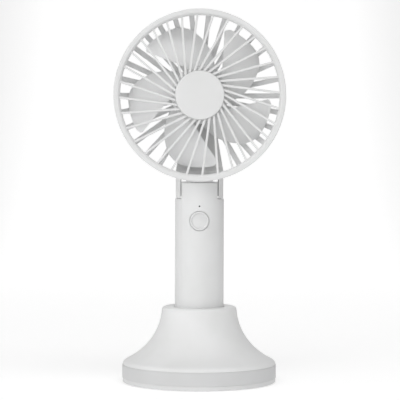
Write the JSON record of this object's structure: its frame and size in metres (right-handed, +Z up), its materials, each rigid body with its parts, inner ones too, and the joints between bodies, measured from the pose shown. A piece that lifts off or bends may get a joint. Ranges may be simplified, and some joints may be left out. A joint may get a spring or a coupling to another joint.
{
  "type": "handheld electric fan",
  "caption": "Slim round-handled electric fan with a folding grilled head, standing upright in a flared weighted stand that its handle lifts out of",
  "frame": {"origin": "centre of the flat underside of the stand, where it rests", "axes": "+Z up along the handle, the front of the fan faces -Y, +X is to the right seen from the front"},
  "size_m": [0.102, 0.0924, 0.223],
  "materials": {
    "white_plastic": "fine satin moulded white plastic",
    "blade_plastic": "smooth pale grey-white moulded plastic",
    "band_plastic": "fine-grained pale grey band",
    "steel": "bright zinc-plated steel",
    "dark_steel": "dark oiled steel and stacked laminations",
    "brass": "sintered brass",
    "copper": "enamelled copper wire",
    "rubber": "matt grey rubber",
    "circuit_board": "green solder-masked board",
    "black_plastic": "matt black plastic",
    "cell_wrap": "shrink-wrapped blue sleeve, plain",
    "red_wire": "red wire insulation",
    "clear_plastic": "smoked clear plastic"
  },
  "bodies": {
    "stand": {"stand_shell": "white_plastic", "stand_band": "band_plastic", "stand_bottom_cover": "white_plastic", "stand_weight": "dark_steel", "foot_ring": "rubber", "foot_screw_1": "steel", "foot_screw_2": "steel", "foot_screw_3": "steel"},
    "handle": {"handle_front_shell": "white_plastic", "handle_rear_shell": "white_plastic", "handle_end_cap": "white_plastic", "battery_cell": "cell_wrap", "cell_spacer_lower": "black_plastic", "cell_spacer_upper": "black_plastic", "cell_tab_lower": "steel", "cell_tab_upper": "steel", "main_board": "circuit_board", "tact_switch": "black_plastic", "indicator_led": "clear_plastic", "light_pipe": "clear_plastic", "usb_port": "steel", "usb_tongue": "black_plastic", "hinge_pin_left": "steel", "hinge_pin_right": "steel", "handle_lead_red": "red_wire", "handle_lead_black": "black_plastic"},
    "button": {"power_button": "white_plastic"},
    "head": {"front_grille": "white_plastic", "grille_cap": "white_plastic", "rear_grille": "white_plastic", "neck_yoke": "white_plastic", "hinge_washer_left": "dark_steel", "hinge_washer_right": "dark_steel", "motor_base": "dark_steel", "bearing_sleeve": "brass", "stator_core": "dark_steel", "coil_1": "copper", "coil_2": "copper", "coil_3": "copper", "coil_4": "copper", "motor_board": "circuit_board", "motor_screw_1": "steel", "motor_screw_2": "steel", "motor_screw_3": "steel", "head_lead_red": "red_wire", "head_lead_black": "black_plastic"},
    "rotor": {"impeller": "blade_plastic", "rotor_cup": "steel", "ring_magnet": "black_plastic", "motor_shaft": "steel"}
  },
  "joints": [
    {"name": "fan_lift", "type": "slide", "parent": "stand", "child": "handle", "axis": [0, 0, 1], "range_m": [0, 0.045]},
    {"name": "head_fold", "type": "hinge", "parent": "handle", "child": "head", "pos_m": [0, 0, 0.1169], "axis": [-1, 0, 0], "range_deg": [0, 90]},
    {"name": "impeller_spin", "type": "hinge", "parent": "head", "child": "rotor", "pos_m": [0, -0.005, 0.172], "axis": [0, 1, 0], "continuous": true},
    {"name": "button_press", "type": "slide", "parent": "handle", "child": "button", "axis": [0, 1, 0], "range_m": [0, 0.0005], "stiffness_N_per_m": 600}
  ]
}
